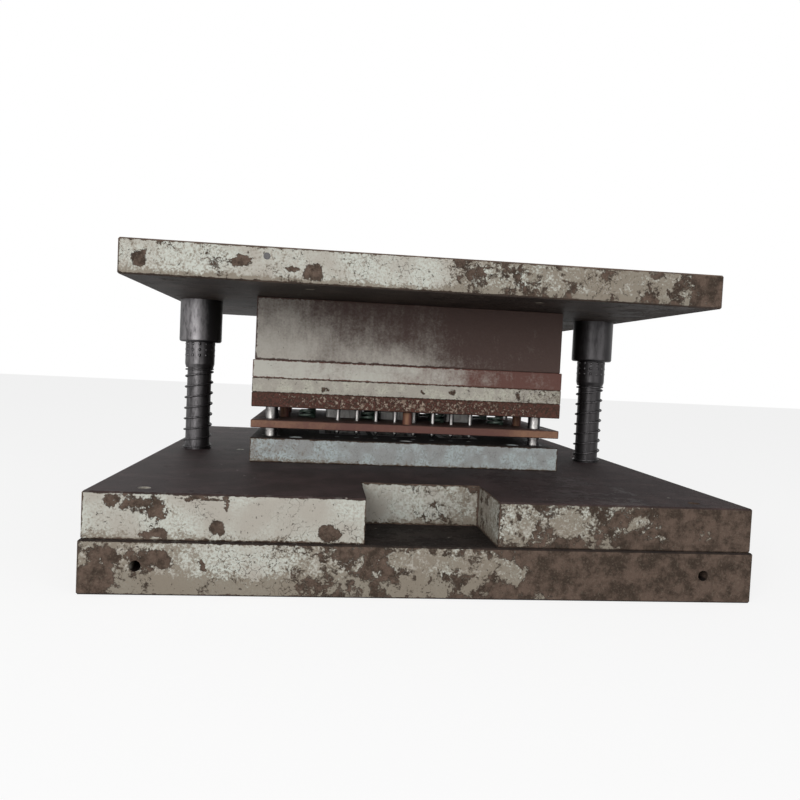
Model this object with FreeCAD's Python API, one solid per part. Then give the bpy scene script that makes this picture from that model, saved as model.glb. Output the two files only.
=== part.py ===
import FreeCAD, Part
import math
import os

from FreeCAD import Vector

# Press die set with two ball-cage guide posts and a spring-loaded stripper, all lengths in mm.
# Frame: origin on the floor under the middle, +X to the right, +Y to the back, +Z up.
# It is modelled open, as it is stored: the stripper stands clear of the die plate.

# --- lower half -------------------------------------------------------------------------
shoe_width = 640.0
shoe_depth = 700.0
shoe_thick = 44.0
base_ledge = 2.0
base_thick = 50.0
shoe_chamfer = 1.5
notch_width = 128.0
notch_depth = 94.0
die_thick = 30.0

# --- stack of plates over the die -------------------------------------------------------
stack_width = 390.0
stack_depth = 240.0
strip_gap = 12.0
stripper_thick = 10.0
spring_gap = 16.0
punch_plate_thick = 18.0
backing_thick = 18.0
spacer_thick = 22.0
plate_chamfer = 0.8
riser_inset = 2.0
riser_height = 77.0

# --- upper plate ------------------------------------------------------------------------
upper_inset = 5.0
upper_depth = 556.0
upper_thick = 36.0
upper_chamfer = 1.5

# --- travel -----------------------------------------------------------------------------
strip_thick = 1.0
punch_stroke = 13.0

# --- guide posts, cages and bushes ------------------------------------------------------
post_inset = 42.0
post_diameter = 32.0
post_sink = 6.0
post_lead = 4.0
ball_diameter = 4.0
ball_play = 0.02
ball_columns = 13
ball_rows = 8
ball_pitch = 7.6
cage_wall = 3.0
cage_bottom_gap = 111.0
cage_length = 84.0
cage_foot = 5.0
cage_first_row = 17.0
bush_wall = 8.0
bush_drop = 57.0
bush_sink = 2.0
bush_round = 3.0
press_play = 0.01
cage_spring_wire = 2.4
cage_spring_play = 0.6
cage_spring_turns = 9.1

# --- coil springs: how finely the line is drawn and how their ends close ----------------
coil_steps = 12
coil_ease = 0.3
coil_seat_play = 0.05

# --- small guide pins -------------------------------------------------------------------
pin_diameter = 16.0
pin_inset_x = 23.0
pin_inset_y = 35.0
pin_head_diameter = 21.0
pin_head_thick = 4.0
pin_entry = 10.0
pin_lead = 2.0
pin_groove_width = 2.4
pin_groove_depth = 0.8
pin_play = 0.02
pin_bush_wall = 4.0
pin_relief = 6.0

# --- punches and die inserts ------------------------------------------------------------
punch_names = ("left", "middle", "right")
punch_centres = (-78.0, -8.0, 81.0)
punch_widths = (50.0, 44.0, 38.0)
punch_depth = 60.0
punch_corner = 4.0
punch_lift = 1.5
punch_heel = 2.5
punch_heel_thick = 4.0
punch_play = 0.1
insert_wall = 8.0
insert_land = 8.0
insert_relief = 0.6
insert_play = 0.02
slug_play = 3.0
window_play = 4.0

# --- pilots -----------------------------------------------------------------------------
pilot_count = 8
pilot_pitch = 25.0
pilot_y = 75.0
pilot_diameter = 6.0
pilot_drop = 8.5
pilot_tip = 3.5
pilot_nose = 1.6
pilot_head_diameter = 9.0
pilot_head_thick = 3.0
pilot_play = 0.05
pilot_hole_play = 0.2

# --- stripper springs and bolts ---------------------------------------------------------
spring_diameter = 22.0
spring_inner = 12.0
spring_wire_height = 3.2
spring_turns = 8.5
spring_inner_x = 46.0
spring_inset_x = 67.0
spring_y = 50.0
spring_pocket_play = 1.5
bolt_diameter = 12.0
bolt_thread = 10.0
bolt_head_diameter = 18.0
bolt_head_thick = 8.0
bolt_play = 0.3
bolt_head_play = 0.5
bolt_reserve = 3.0
bolt_inset_x = 37.0
bolt_inset_y = 15.0
bolt_side_y = 50.0

# --- socket-head screws and dowels ------------------------------------------------------
head_ratio = 1.5
socket_ratio = 0.84
screw_chamfer_ratio = 0.08
head_sink = 1.0
head_play = 0.5
shank_play = 0.1
tip_play = 1.0
dowel_play = 0.01
dowel_chamfer = 1.0
dowel_sink = 2.0
base_screw_size = 12.0
base_screw_inset_x = 80.0
base_screw_inset_y = 60.0
base_screw_inner_y = 100.0
base_screw_grip = 24.0
base_dowel_diameter = 14.0
base_dowel_inset_x = 40.0
base_dowel_inset_y = 150.0
base_dowel_grip = 34.0
die_screw_size = 10.0
die_screw_inset_x = 55.0
die_screw_inset_y = 19.0
die_screw_grip = 20.0
die_dowel_diameter = 10.0
die_dowel_inset = 15.0
die_dowel_y = 25.0
die_dowel_grip = 20.0
stack_screw_size = 12.0
stack_screw_x = 110.0
stack_screw_inset_y = 17.0
stack_screw_inset_side = 15.0
stack_screw_grip = 24.0
stack_dowel_diameter = 12.0
stack_dowel_inset_x = 47.0
stack_dowel_inset_y = 15.0
stack_dowel_grip = 22.0
riser_screw_size = 16.0
riser_screw_inset_x = 45.0
riser_screw_inset_y = 30.0
riser_screw_grip = 30.0
riser_dowel_diameter = 16.0
riser_dowel_inset = 25.0
riser_dowel_grip = 25.0

# --- holes for the press, the crane and gauges ------------------------------------------
lift_hole_diameter = 10.2
lift_hole_inset = 51.0
rear_lift_hole_inset = 101.0
lift_hole_z = 27.0
lift_hole_deep = 30.0
clamp_hole_diameter = 12.0
clamp_hole_inset_x = 49.0
clamp_hole_inset_y = 24.0
gauge_hole_diameter = 10.2
gauge_hole_gap = 24.0
gauge_hole_deep = 25.0
ram_hole_diameter = 10.2
ram_hole_inset_x = 188.0
ram_hole_inset_y = 46.0
plug_diameter = 7.0
plug_inset = 145.0
plug_below_top = 10.0
plug_length = 8.0
plug_play = 0.05

# --- levels, from the floor up ----------------------------------------------------------
shoe_bottom = base_thick
shoe_top = shoe_bottom + shoe_thick
die_top = shoe_top + die_thick
stripper_bottom = die_top + strip_gap
stripper_top = stripper_bottom + stripper_thick
punch_plate_bottom = stripper_top + spring_gap
backing_bottom = punch_plate_bottom + punch_plate_thick
spacer_bottom = backing_bottom + backing_thick
riser_bottom = spacer_bottom + spacer_thick
upper_bottom = riser_bottom + riser_height
upper_top = upper_bottom + upper_thick

# --- sizes that follow from the ones above ----------------------------------------------
base_width = shoe_width + 2 * base_ledge
base_depth = shoe_depth + 2 * base_ledge
upper_width = shoe_width - 2 * upper_inset
close_travel = strip_gap - strip_thick
full_closing = close_travel + punch_stroke
post_x = shoe_width / 2 - post_inset
post_radius = post_diameter / 2
post_top = upper_top - full_closing - post_sink
bush_bore = post_radius + ball_diameter
bush_radius = bush_bore + bush_wall
bush_bottom = upper_bottom - bush_drop
bush_top = upper_top - bush_sink
cage_inner = post_radius + (ball_diameter - cage_wall) / 2
cage_outer = cage_inner + cage_wall
cage_bottom = shoe_top + cage_bottom_gap
pin_radius = pin_diameter / 2
pin_bush_radius = pin_radius + pin_play + pin_bush_wall
pin_tip = die_top - pin_entry
pin_relief_top = pin_tip - full_closing - pin_relief
punch_tip = stripper_bottom + punch_lift
pilot_end = stripper_bottom - pilot_drop
spring_pocket = spring_diameter / 2 + spring_pocket_play


def corners(x, y):
    """The four points (+-x, +-y)."""
    return [(-x, -y), (x, -y), (-x, y), (x, y)]


def middle_pair(y):
    """The two points (0, +-y)."""
    return [(0.0, -y), (0.0, y)]


def side_pair(x, y=0.0):
    """The points (-x, y) and (x, -y), at opposite sides of the middle."""
    return [(-x, y), (x, -y)]


# --- where things stand, measured in from the edges of the plates -----------------------
half_shoe_x = shoe_width / 2
half_shoe_y = shoe_depth / 2
half_stack_x = stack_width / 2
half_stack_y = stack_depth / 2
post_spots = side_pair(post_x)
bolt_spots = middle_pair(half_stack_y - bolt_inset_y)
bolt_spots += corners(half_stack_x - bolt_inset_x, bolt_side_y)
pin_spots = corners(half_stack_x - pin_inset_x, half_stack_y - pin_inset_y)
spring_spots = corners(spring_inner_x, spring_y)
spring_spots += corners(half_stack_x - spring_inset_x, spring_y)
pilot_first = -(pilot_count - 1) * pilot_pitch / 2
pilot_row = [pilot_first + i * pilot_pitch for i in range(pilot_count)]
pilot_spots = [(x, y) for x in pilot_row for y in (-pilot_y, pilot_y)]
die_screw_spots = corners(half_stack_x - die_screw_inset_x, half_stack_y - die_screw_inset_y)
die_screw_spots += middle_pair(half_stack_y - die_screw_inset_y)
die_dowel_spots = side_pair(half_stack_x - die_dowel_inset, die_dowel_y)
stack_screw_spots = corners(stack_screw_x, half_stack_y - stack_screw_inset_y)
stack_screw_spots += side_pair(half_stack_x - stack_screw_inset_side)
stack_dowel_y = half_stack_y - stack_dowel_inset_y
stack_dowel_spots = side_pair(half_stack_x - stack_dowel_inset_x, -stack_dowel_y)
riser_screw_y = half_stack_y - riser_screw_inset_y
riser_screw_spots = corners(half_stack_x - riser_screw_inset_x, riser_screw_y)
riser_screw_spots += middle_pair(riser_screw_y)
riser_dowel_spots = side_pair(half_stack_x - riser_dowel_inset)
base_screw_x = half_shoe_x - base_screw_inset_x
base_screw_spots = corners(base_screw_x, half_shoe_y - base_screw_inset_y)
base_screw_spots += corners(base_screw_x, base_screw_inner_y)
base_dowel_x = half_shoe_x - base_dowel_inset_x
base_dowel_spots = side_pair(base_dowel_x, base_dowel_inset_y - half_shoe_y)
clamp_spots = corners(half_shoe_x - clamp_hole_inset_x, half_shoe_y - clamp_hole_inset_y)
gauge_spots = side_pair(half_stack_x + gauge_hole_gap)
lift_hole_x = base_width / 2 - lift_hole_inset
rear_lift_hole_x = base_width / 2 - rear_lift_hole_inset
ram_spots = corners(upper_width / 2 - ram_hole_inset_x, upper_depth / 2 - ram_hole_inset_y)


# --- shapes that more than one piece uses -----------------------------------------------
def plate(width, depth, bottom, top, chamfer):
    """Plate centred on the origin, with every edge broken."""
    block = Part.makeBox(width, depth, top - bottom, Vector(-width / 2, -depth / 2, bottom))
    return block.makeChamfer(chamfer, block.Edges)


def rounded_block(x, width, depth, corner, bottom, top):
    """Upright block with rounded corners, centred on (x, 0)."""
    block = Part.makeBox(width, depth, top - bottom, Vector(x - width / 2, -depth / 2, bottom))
    upright = [edge for edge in block.Edges if edge.BoundBox.ZLength > (top - bottom) / 2]
    return block.makeFillet(corner, upright)


def cylinders(radius, bottom, top, spots):
    """One upright cylinder at each spot."""
    return [Part.makeCylinder(radius, top - bottom, Vector(x, y, bottom)) for x, y in spots]


def tube(outer, inner, bottom, top):
    """Upright tube on the Z axis."""
    outside = Part.makeCylinder(outer, top - bottom, Vector(0, 0, bottom))
    return outside.cut(Part.makeCylinder(inner, top - bottom, Vector(0, 0, bottom)))


def turned(points):
    """Solid turned round Z from (radius, height) points of its half section."""
    section = [Vector(radius, 0, height) for radius, height in points]
    outline = Part.makePolygon(section + section[:1])
    return Part.Face(outline).revolve(Vector(0, 0, 0), Vector(0, 0, 1), 360)


def at_spots(shape, spots):
    """A copy of the shape at each spot, as one group of separate solids."""
    copies = []
    for x, y in spots:
        copy = shape.copy()
        copy.translate(Vector(x, y, 0))
        copies.append(copy)
    return Part.makeCompound(copies)


def dowel(diameter, bottom, top):
    """Dowel on the Z axis with both ends chamfered."""
    radius = diameter / 2
    neck = radius - dowel_chamfer
    return turned([
        (0, bottom),
        (neck, bottom),
        (radius, bottom + dowel_chamfer),
        (radius, top - dowel_chamfer),
        (neck, top),
        (0, top),
    ])


def socket_screw(size, seat, tip):
    """Socket-head screw on the Z axis, from the seat of its head to its tip, up or down."""
    length = abs(seat - tip)
    radius = size / 2
    head = size * head_ratio / 2
    chamfer = size * screw_chamfer_ratio
    body = turned([
        (0, size),
        (head - chamfer, size),
        (head, size - chamfer),
        (head, 0),
        (radius, 0),
        (radius, chamfer - length),
        (radius - chamfer, -length),
        (0, -length),
    ])
    flat = size * socket_ratio / 2 / math.cos(math.pi / 6)
    turns = [math.pi / 3 * i for i in range(6)]
    hexagon = [Vector(flat * math.cos(a), flat * math.sin(a), size / 2) for a in turns]
    socket = Part.Face(Part.makePolygon(hexagon + hexagon[:1])).extrude(Vector(0, 0, size))
    screw = body.cut(socket)
    if tip > seat:
        screw.rotate(Vector(0, 0, 0), Vector(1, 0, 0), 180)
    screw.translate(Vector(0, 0, seat))
    return screw


def screw_holes(size, seat, tip, mouth, spots):
    """Shank holes past the tips and counterbores from the seats to the mouths."""
    reach = tip + math.copysign(tip_play, tip - seat)
    shanks = cylinders(size / 2 + shank_play, min(seat, reach), max(seat, reach), spots)
    bore = size * head_ratio / 2 + head_play
    return shanks + cylinders(bore, min(seat, mouth), max(seat, mouth), spots)


def coil_climb(turn, turns, rise, closed_pitch):
    """Rise of the wire's middle after so many turns, with one closed turn at each end."""
    extra_pitch = (rise - closed_pitch * turns) / (turns - 2)
    from_end = min(turn, turns - turn)
    past = from_end - 1
    if past < -coil_ease:
        open_turns = 0.0
    elif past < coil_ease:
        open_turns = (past + coil_ease) ** 2 / (4 * coil_ease)
    else:
        open_turns = past
    climb = closed_pitch * from_end + extra_pitch * open_turns
    return climb if turn < turns / 2 else rise - climb


def coil(section, wire_height, radius, bottom, top, turns):
    """Compression spring round Z: the section, drawn at the origin, swept along the coil."""
    first = bottom + coil_seat_play + wire_height / 2
    rise = top - coil_seat_play - wire_height / 2 - first
    closed_pitch = wire_height + coil_seat_play
    steps = round(turns * coil_steps)
    points = []
    for i in range(steps + 1):
        turn = turns * i / steps
        angle = 2 * math.pi * turn
        climb = coil_climb(turn, turns, rise, closed_pitch)
        points.append(Vector(radius * math.cos(angle), radius * math.sin(angle), first + climb))
    line = Part.BSplineCurve()
    line.interpolate(points)
    section.translate(points[0])
    return Part.Wire(line.toShape()).makePipeShell([section], True, True)


# --- holes that pass through several plates ---------------------------------------------
base_screw_seat = base_screw_size + head_sink
base_screw_tip = shoe_bottom + base_screw_grip
base_screw_holes = screw_holes(base_screw_size, base_screw_seat, base_screw_tip, 0, base_screw_spots)

base_dowel_bottom = dowel_sink
base_dowel_top = shoe_bottom + base_dowel_grip
base_dowel_holes = cylinders(
    base_dowel_diameter / 2 + dowel_play, 0, base_dowel_top + tip_play, base_dowel_spots
)

die_screw_seat = die_top - head_sink - die_screw_size
die_screw_tip = shoe_top - die_screw_grip
die_screw_holes = screw_holes(
    die_screw_size, die_screw_seat, die_screw_tip, die_top, die_screw_spots
)

die_dowel_bottom = shoe_top - die_dowel_grip
die_dowel_top = die_top - dowel_sink
die_dowel_holes = cylinders(
    die_dowel_diameter / 2 + dowel_play, die_dowel_bottom - tip_play, die_top, die_dowel_spots
)

stack_screw_seat = punch_plate_bottom + head_sink + stack_screw_size
stack_screw_tip = riser_bottom + stack_screw_grip
stack_screw_holes = screw_holes(
    stack_screw_size, stack_screw_seat, stack_screw_tip, punch_plate_bottom, stack_screw_spots
)

stack_dowel_bottom = punch_plate_bottom + dowel_sink
stack_dowel_top = riser_bottom + stack_dowel_grip
stack_dowel_holes = cylinders(
    stack_dowel_diameter / 2 + dowel_play,
    punch_plate_bottom,
    stack_dowel_top + tip_play,
    stack_dowel_spots,
)

riser_screw_seat = upper_top - head_sink - riser_screw_size
riser_screw_tip = upper_bottom - riser_screw_grip
riser_screw_holes = screw_holes(
    riser_screw_size, riser_screw_seat, riser_screw_tip, upper_top, riser_screw_spots
)

riser_dowel_bottom = upper_bottom - riser_dowel_grip
riser_dowel_top = upper_top - dowel_sink
riser_dowel_holes = cylinders(
    riser_dowel_diameter / 2 + dowel_play,
    riser_dowel_bottom - tip_play,
    upper_top,
    riser_dowel_spots,
)

bolt_seat = riser_bottom
bolt_head_top = bolt_seat + bolt_head_thick
bolt_bore_top = bolt_head_top + punch_stroke + bolt_reserve
bolt_holes = cylinders(
    bolt_diameter / 2 + bolt_play, punch_plate_bottom, riser_bottom, bolt_spots
)
bolt_head_holes = cylinders(
    bolt_head_diameter / 2 + bolt_head_play, riser_bottom, bolt_bore_top, bolt_spots
)
spring_pockets = cylinders(spring_pocket, punch_plate_bottom, spacer_bottom, spring_spots)


# --- lower half -------------------------------------------------------------------------
def insert_outlines(play, bottom, top):
    """Blocks as large as the die inserts, grown by the play, one for each punch."""
    grow = 2 * (insert_wall + play)
    return [
        rounded_block(x, width + grow, punch_depth + grow, punch_corner, bottom, top)
        for x, width in zip(punch_centres, punch_widths)
    ]


def slug_holes(play, bottom, top):
    """Holes as large as the punches, grown by the play, that the slugs fall through."""
    return [
        rounded_block(x, width + 2 * play, punch_depth + 2 * play, punch_corner, bottom, top)
        for x, width in zip(punch_centres, punch_widths)
    ]


def base_plate():
    block = plate(base_width, base_depth, 0, base_thick, shoe_chamfer)
    lift_holes = []
    for side, hole_x in ((-1, lift_hole_x), (1, rear_lift_hole_x)):
        for x in (-hole_x, hole_x):
            mouth = Vector(x, side * base_depth / 2, lift_hole_z)
            inward = Vector(0, -side, 0)
            lift_holes.append(
                Part.makeCylinder(lift_hole_diameter / 2, lift_hole_deep, mouth, inward)
            )
    windows = slug_holes(slug_play + window_play, 0, base_thick)
    return block.cut(lift_holes + windows + base_screw_holes + base_dowel_holes)


def die_shoe():
    block = plate(shoe_width, shoe_depth, shoe_bottom, shoe_top, shoe_chamfer)
    notch = Part.makeBox(
        notch_width,
        notch_depth,
        shoe_thick,
        Vector(-notch_width / 2, -shoe_depth / 2, shoe_bottom),
    )
    holes = cylinders(post_radius + press_play, shoe_bottom, shoe_top, post_spots)
    holes += cylinders(clamp_hole_diameter / 2, shoe_bottom, shoe_top, clamp_spots)
    holes += cylinders(gauge_hole_diameter / 2, shoe_top - gauge_hole_deep, shoe_top, gauge_spots)
    holes += cylinders(pin_radius + head_play, pin_relief_top, shoe_top, pin_spots)
    holes += slug_holes(slug_play, shoe_bottom, shoe_top)
    holes += base_screw_holes + base_dowel_holes + die_screw_holes + die_dowel_holes
    return block.cut([notch] + holes)


def die_plate():
    block = plate(stack_width, stack_depth, shoe_top, die_top, plate_chamfer)
    holes = insert_outlines(insert_play, shoe_top, die_top)
    holes += cylinders(pin_bush_radius + press_play, shoe_top, die_top, pin_spots)
    holes += cylinders(pilot_diameter / 2 + pilot_hole_play, shoe_top, die_top, pilot_spots)
    return block.cut(holes + die_screw_holes + die_dowel_holes)


def die_insert(index):
    """Insert with the punch's opening: a straight land, and a wider relief under it."""
    block = insert_outlines(0, shoe_top, die_top)[index]
    land = slug_holes(punch_play, shoe_top, die_top)[index]
    relief = slug_holes(punch_play + insert_relief, shoe_top, die_top - insert_land)[index]
    return block.cut([land, relief])


def pin_bushes(bottom, top):
    """Bushes for the small guide pins, with a chamfered mouth at the top."""
    mouth = pin_bush_wall / 4
    inner = pin_radius + pin_play
    bush = turned([
        (inner, bottom),
        (pin_bush_radius, bottom),
        (pin_bush_radius, top),
        (inner + mouth, top),
        (inner, top - mouth),
    ])
    return at_spots(bush, pin_spots)


# --- guide posts and cages --------------------------------------------------------------
def guide_post(x):
    """Ground post standing on the base plate, pressed into the shoe, with a lead at the top."""
    shank = turned([
        (0, shoe_bottom),
        (post_radius - dowel_chamfer, shoe_bottom),
        (post_radius, shoe_bottom + dowel_chamfer),
        (post_radius, post_top - post_lead),
        (post_radius - post_lead / 2, post_top),
        (post_lead, post_top),
        (0, post_top - post_lead),
    ])
    shank.translate(Vector(x, 0, 0))
    return shank


def guide_bush(x):
    """Long bush pressed into the upper plate, rounded at its lower end."""
    sleeve = tube(bush_radius, bush_bore, bush_bottom, bush_top)
    lowest = [
        edge
        for edge in sleeve.Edges
        if edge.BoundBox.ZMax < bush_bottom + press_play
        and edge.BoundBox.XMax > bush_radius - bush_wall / 2
    ]
    sleeve = sleeve.makeFillet(bush_round, lowest)
    sleeve.translate(Vector(x, 0, 0))
    return sleeve


def ball_places():
    """Middle of each ball round the Z axis, with the direction it lies in."""
    middle = post_radius + ball_diameter / 2
    places = []
    for row in range(ball_rows):
        height = cage_bottom + cage_first_row + row * ball_pitch
        for column in range(ball_columns):
            angle = 2 * math.pi * column / ball_columns
            outward = Vector(math.cos(angle), math.sin(angle), 0)
            places.append((outward * middle + Vector(0, 0, height), outward))
    return places


def ball_cage(x):
    """Thin sleeve with a hole for each ball and a stepped foot that sits on the spring."""
    top = cage_bottom + cage_length
    foot = cage_outer - cage_wall / 2
    sleeve = turned([
        (cage_inner, cage_bottom),
        (foot, cage_bottom),
        (cage_outer, cage_bottom + cage_foot),
        (cage_outer, top - dowel_chamfer),
        (cage_outer - dowel_chamfer, top),
        (cage_inner, top),
    ])
    hole = ball_diameter / 2 + ball_play
    drills = [
        Part.makeCylinder(hole, 2 * cage_wall, middle - outward * cage_wall, outward)
        for middle, outward in ball_places()
    ]
    sleeve = sleeve.cut(drills)
    sleeve.translate(Vector(x, 0, 0))
    return sleeve


def cage_balls(x):
    balls = [
        Part.makeSphere(ball_diameter / 2 - ball_play, middle + Vector(x, 0, 0))
        for middle, outward in ball_places()
    ]
    return Part.makeCompound(balls)


def cage_spring(x):
    """Long coil spring round the post, from the shoe up to the cage."""
    wire = cage_spring_wire / 2
    radius = post_radius + cage_spring_play + wire
    circle = Part.makeCircle(wire, Vector(0, 0, 0), Vector(0, 1, 0))
    section = Part.Wire(circle)
    spring = coil(section, 2 * wire, radius, shoe_top, cage_bottom, cage_spring_turns)
    spring.translate(Vector(x, 0, 0))
    return spring


# --- stripper ---------------------------------------------------------------------------
def stripper_plate():
    block = plate(stack_width, stack_depth, stripper_bottom, stripper_top, plate_chamfer)
    holes = slug_holes(punch_play, stripper_bottom, stripper_top)
    holes += cylinders(pin_bush_radius + press_play, stripper_bottom, stripper_top, pin_spots)
    pilot_bore = pilot_diameter / 2 + pilot_play
    holes += cylinders(pilot_bore, stripper_bottom, stripper_top, pilot_spots)
    thread_bore = bolt_thread / 2 + dowel_play
    holes += cylinders(thread_bore, stripper_bottom, stripper_top, bolt_spots)
    return block.cut(holes)


def stripper_bolts():
    """Shoulder bolts: thread in the stripper, shoulder up through the plates, head on top."""
    thread = bolt_thread / 2
    shoulder = bolt_diameter / 2
    head = bolt_head_diameter / 2
    bolt = turned([
        (0, stripper_bottom),
        (thread, stripper_bottom),
        (thread, stripper_top),
        (shoulder, stripper_top),
        (shoulder, bolt_seat),
        (head, bolt_seat),
        (head, bolt_head_top),
        (0, bolt_head_top),
    ])
    return at_spots(bolt, bolt_spots)


def die_springs():
    """Flat-wire coil springs between the stripper and the spacer plate."""
    thick = (spring_diameter - spring_inner) / 2
    radius = (spring_diameter + spring_inner) / 4
    low = spring_wire_height / 2
    outline = [
        Vector(-thick / 2, 0, -low),
        Vector(thick / 2, 0, -low),
        Vector(thick / 2, 0, low),
        Vector(-thick / 2, 0, low),
    ]
    section = Part.makePolygon(outline + outline[:1])
    height = spring_wire_height
    spring = coil(section, height, radius, stripper_top, spacer_bottom, spring_turns)
    return at_spots(spring, spring_spots)


# --- upper half -------------------------------------------------------------------------
def upper_plate():
    block = plate(upper_width, upper_depth, upper_bottom, upper_top, upper_chamfer)
    holes = cylinders(bush_radius + press_play, upper_bottom, upper_top, post_spots)
    holes += cylinders(ram_hole_diameter / 2, upper_bottom, upper_top, ram_spots)
    plug_hole = plug_shape(plug_play, plug_length + tip_play)
    return block.cut(holes + riser_screw_holes + riser_dowel_holes + [plug_hole])


def plug_shape(play, length):
    """Cylinder sunk in the upper plate's front face, near its top edge."""
    mouth = Vector(plug_inset - upper_width / 2, -upper_depth / 2, upper_top - plug_below_top)
    return Part.makeCylinder(plug_diameter / 2 + play, length, mouth, Vector(0, 1, 0))


def riser_block():
    width = stack_width - 2 * riser_inset
    depth = stack_depth - 2 * riser_inset
    block = plate(width, depth, riser_bottom, upper_bottom, plate_chamfer)
    holes = bolt_head_holes + stack_screw_holes + stack_dowel_holes
    return block.cut(holes + riser_screw_holes + riser_dowel_holes)


def spacer_plate():
    block = plate(stack_width, stack_depth, spacer_bottom, riser_bottom, plate_chamfer)
    return block.cut(bolt_holes + stack_screw_holes + stack_dowel_holes)


def backing_plate():
    block = plate(stack_width, stack_depth, backing_bottom, spacer_bottom, plate_chamfer)
    return block.cut(bolt_holes + spring_pockets + stack_screw_holes + stack_dowel_holes)


def heel(index, play):
    """Wider top of a punch, which hangs in the punch plate."""
    width = punch_widths[index] + 2 * (punch_heel + play)
    depth = punch_depth + 2 * (punch_heel + play)
    bottom = backing_bottom - punch_heel_thick
    return rounded_block(punch_centres[index], width, depth, punch_corner, bottom, backing_bottom)


def punch_plate():
    block = plate(stack_width, stack_depth, punch_plate_bottom, backing_bottom, plate_chamfer)
    holes = slug_holes(insert_play, punch_plate_bottom, backing_bottom)
    holes += [heel(index, insert_play) for index in range(len(punch_names))]
    pin_bore = pin_radius + press_play
    holes += cylinders(pin_bore, punch_plate_bottom, backing_bottom, pin_spots)
    pin_head = pin_head_diameter / 2 + head_play
    holes += cylinders(pin_head, backing_bottom - pin_head_thick, backing_bottom, pin_spots)
    pilot_bore = pilot_diameter / 2 + press_play
    holes += cylinders(pilot_bore, punch_plate_bottom, backing_bottom, pilot_spots)
    pilot_head = pilot_head_diameter / 2 + shank_play
    pilot_seat = backing_bottom - pilot_head_thick
    holes += cylinders(pilot_head, pilot_seat, backing_bottom, pilot_spots)
    return block.cut(holes + bolt_holes + spring_pockets + stack_screw_holes + stack_dowel_holes)


def punch(index):
    """Heeled punch from the backing plate down into the stripper."""
    blade = slug_holes(0, punch_tip, backing_bottom)[index]
    return blade.fuse(heel(index, 0)).removeSplitter()


def pilot_pins():
    """Headed pins with a bullet nose below the stripper."""
    radius = pilot_diameter / 2
    head = pilot_head_diameter / 2
    seat = backing_bottom - pilot_head_thick
    pin = turned([
        (0, pilot_end),
        (pilot_nose / 2, pilot_end),
        (pilot_nose, pilot_end + pilot_nose / 2),
        (radius, pilot_end + pilot_tip),
        (radius, seat),
        (head, seat),
        (head, backing_bottom),
        (0, backing_bottom),
    ])
    return at_spots(pin, pilot_spots)


def sub_guide_pins():
    """Headed guide pins with oil grooves, through the stripper into the die plate."""
    head = pin_head_diameter / 2
    seat = backing_bottom - pin_head_thick
    pin = turned([
        (0, pin_tip),
        (pin_radius - pin_lead / 2, pin_tip),
        (pin_radius, pin_tip + pin_lead),
        (pin_radius, seat),
        (head, seat),
        (head, backing_bottom),
        (0, backing_bottom),
    ])
    middle = (die_top + stripper_bottom) / 2
    rings = []
    for height in (middle - strip_gap, middle, middle + strip_gap):
        low = height - pin_groove_width / 2
        high = height + pin_groove_width / 2
        if low > pin_tip + pin_lead:
            rings.append(
                tube(pin_radius + pin_groove_depth, pin_radius - pin_groove_depth, low, high)
            )
    return at_spots(pin.cut(rings), pin_spots)


# --- what goes into each file -----------------------------------------------------------
def group_of(shape_maker, size, first, second, spots):
    """Like fasteners as one group of separate solids."""
    return at_spots(shape_maker(size, first, second), spots)


def all_nodes():
    nodes = {
        "base_plate": base_plate(),
        "base_screws": group_of(
            socket_screw, base_screw_size, base_screw_seat, base_screw_tip, base_screw_spots
        ),
        "base_dowels": group_of(
            dowel, base_dowel_diameter, base_dowel_bottom, base_dowel_top, base_dowel_spots
        ),
        "die_shoe": die_shoe(),
        "die_plate": die_plate(),
        "die_screws": group_of(
            socket_screw, die_screw_size, die_screw_seat, die_screw_tip, die_screw_spots
        ),
        "die_dowels": group_of(
            dowel, die_dowel_diameter, die_dowel_bottom, die_dowel_top, die_dowel_spots
        ),
        "die_guide_bushes": pin_bushes(shoe_top, die_top),
        "stripper_plate": stripper_plate(),
        "stripper_bushes": pin_bushes(stripper_bottom, stripper_top),
        "stripper_bolts": stripper_bolts(),
        "die_springs": die_springs(),
        "upper_plate": upper_plate(),
        "upper_plate_plug": plug_shape(0, plug_length),
        "riser_block": riser_block(),
        "riser_screws": group_of(
            socket_screw, riser_screw_size, riser_screw_seat, riser_screw_tip, riser_screw_spots
        ),
        "riser_dowels": group_of(
            dowel, riser_dowel_diameter, riser_dowel_bottom, riser_dowel_top, riser_dowel_spots
        ),
        "spacer_plate": spacer_plate(),
        "backing_plate": backing_plate(),
        "punch_plate": punch_plate(),
        "stack_screws": group_of(
            socket_screw, stack_screw_size, stack_screw_seat, stack_screw_tip, stack_screw_spots
        ),
        "stack_dowels": group_of(
            dowel, stack_dowel_diameter, stack_dowel_bottom, stack_dowel_top, stack_dowel_spots
        ),
        "pilot_pins": pilot_pins(),
        "sub_guide_pins": sub_guide_pins(),
    }
    for index, name in enumerate(punch_names):
        nodes["punch_" + name] = punch(index)
        nodes["die_insert_" + name] = die_insert(index)
    for side, x in (("left", -post_x), ("right", post_x)):
        nodes["guide_post_" + side] = guide_post(x)
        nodes["guide_bush_" + side] = guide_bush(x)
        nodes["ball_cage_" + side] = ball_cage(x)
        nodes["cage_balls_" + side] = cage_balls(x)
        nodes["cage_spring_" + side] = cage_spring(x)
    return nodes


def main():
    os.makedirs("parts", exist_ok=True)
    for name, shape in all_nodes().items():
        shape.exportStep("parts/" + name + ".step")
        print(name, "solids", len(shape.Solids), "valid", shape.isValid())


main()
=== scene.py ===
"""Looks of a press die set with ball-cage guide posts, laid out as an add-on.

Each operator dresses or builds one group of pieces, and main() runs them in order.
Lengths are in metres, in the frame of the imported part: +X right, +Y back, +Z up.
"""
import math

import bmesh
import bpy
from mathutils import Matrix, Vector


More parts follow.
